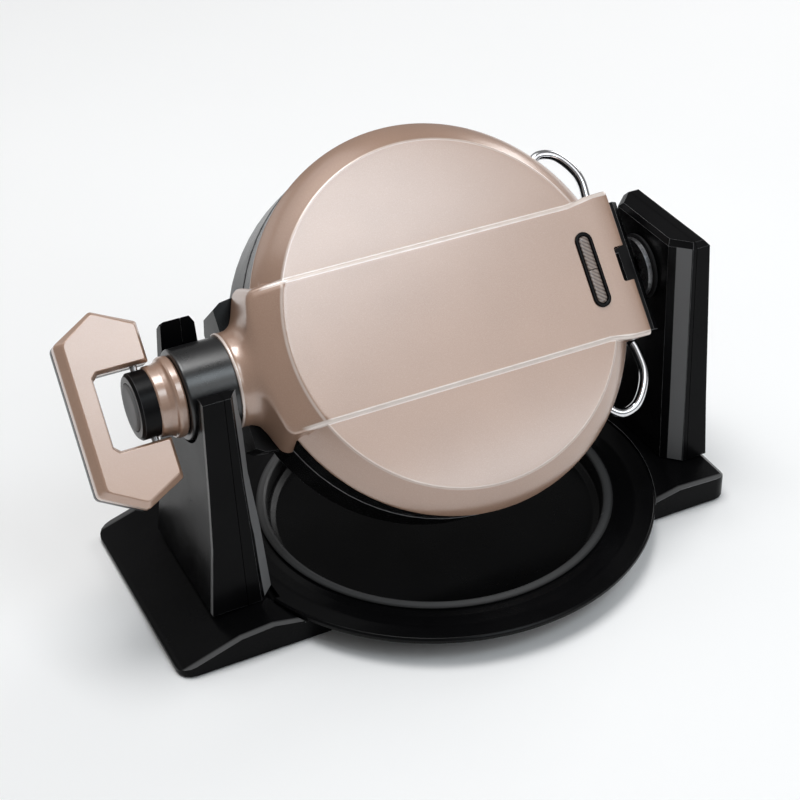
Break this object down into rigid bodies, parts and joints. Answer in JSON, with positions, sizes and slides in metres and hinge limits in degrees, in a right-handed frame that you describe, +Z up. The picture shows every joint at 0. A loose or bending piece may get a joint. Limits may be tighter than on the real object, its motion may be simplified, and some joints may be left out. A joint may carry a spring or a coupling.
{
  "type": "rotating waffle maker",
  "caption": "Round hinged waffle cooker that flips over between two towers on a base with a drip tray, with a folding grip at one end of its axis.",
  "frame": {"origin": "middle of the whole machine's footprint, on the surface it stands on", "axes": "+X along the flip axis from the folding grip to the lid hinge, -Y to the front, +Z up"},
  "size_m": [0.373, 0.2612, 0.2326],
  "materials": {
    "copper_paint": "satin rose-gold metallic paint",
    "black_plastic": "moulded black plastic, soft gloss",
    "satin_black": "satin black plastic",
    "nonstick": "cast aluminium with a dark nonstick coat",
    "chrome_wire": "bright chrome plate",
    "steel": "plain steel",
    "aluminium_sheet": "pressed bright sheet",
    "grey_plastic": "dark grey plastic",
    "rubber": "black rubber",
    "lamp_lens": "smoked amber lens",
    "brass": "plain brass"
  },
  "bodies": {
    "stand": {"base_pan": "black_plastic", "left_foot": "black_plastic", "right_foot": "black_plastic", "left_tower_outer": "black_plastic", "left_tower_inner": "black_plastic", "right_tower_outer": "black_plastic", "right_tower_inner": "black_plastic", "cradle_liner": "grey_plastic", "axle_bush": "grey_plastic", "terminal_block": "grey_plastic", "cord_gland": "rubber", "rubber_foot_left_front": "rubber", "rubber_foot_left_rear": "rubber", "rubber_foot_right_front": "rubber", "rubber_foot_right_rear": "rubber", "tower_screw_left_front": "steel", "tower_screw_left_rear": "steel", "tower_screw_right_front": "steel", "tower_screw_right_rear": "steel"},
    "tray": {"drip_tray": "satin_black"},
    "cooker": {"lower_housing": "black_plastic", "lower_grid_plate": "nonstick", "lower_heating_element": "steel", "lower_reflector": "aluminium_sheet", "thermostat": "brass", "lower_throat": "black_plastic", "neck_drum": "satin_black", "neck_flange": "copper_paint", "handle_barrel": "satin_black", "handle_pivot_pin": "steel", "hinge_block": "black_plastic", "hinge_pin": "steel", "flip_axle": "steel", "wire_loop_front": "chrome_wire", "wire_loop_rear": "chrome_wire", "bottom_screw_1": "steel", "bottom_screw_2": "steel", "bottom_screw_3": "steel"},
    "lid": {"lid_shell": "copper_paint", "lid_ring": "black_plastic", "upper_grid_plate": "nonstick", "upper_heating_element": "steel", "upper_reflector": "aluminium_sheet", "lid_hinge_lug_front": "steel", "lid_hinge_lug_rear": "steel", "indicator_bezel": "black_plastic", "power_lamp": "lamp_lens", "ready_lamp": "lamp_lens"},
    "handle": {"handle_top_shell": "copper_paint", "handle_bottom_shell": "black_plastic"},
    "button": {"fold_button": "grey_plastic"}
  },
  "joints": [
    {"name": "flip", "type": "hinge", "parent": "stand", "child": "cooker", "pos_m": [0.0215, 0, 0.1355], "axis": [1, 0, 0], "range_deg": [-49.1, 130.9]},
    {"name": "lid_open", "type": "hinge", "parent": "cooker", "child": "lid", "pos_m": [0.1235, -0.0189, 0.15187], "axis": [0, -0.6547, -0.7559], "range_deg": [-100, 0]},
    {"name": "handle_fold", "type": "hinge", "parent": "cooker", "child": "handle", "pos_m": [-0.148, 0, 0.1355], "axis": [0, -0.6547, -0.7559], "range_deg": [0, 90]},
    {"name": "fold_button_press", "type": "slide", "parent": "cooker", "child": "button", "axis": [1, 0, 0], "range_m": [0, 0.003], "stiffness_N_per_m": 600},
    {"name": "tray_lift", "type": "slide", "parent": "stand", "child": "tray", "axis": [0, 0, 1], "range_m": [0, 0.012]}
  ]
}
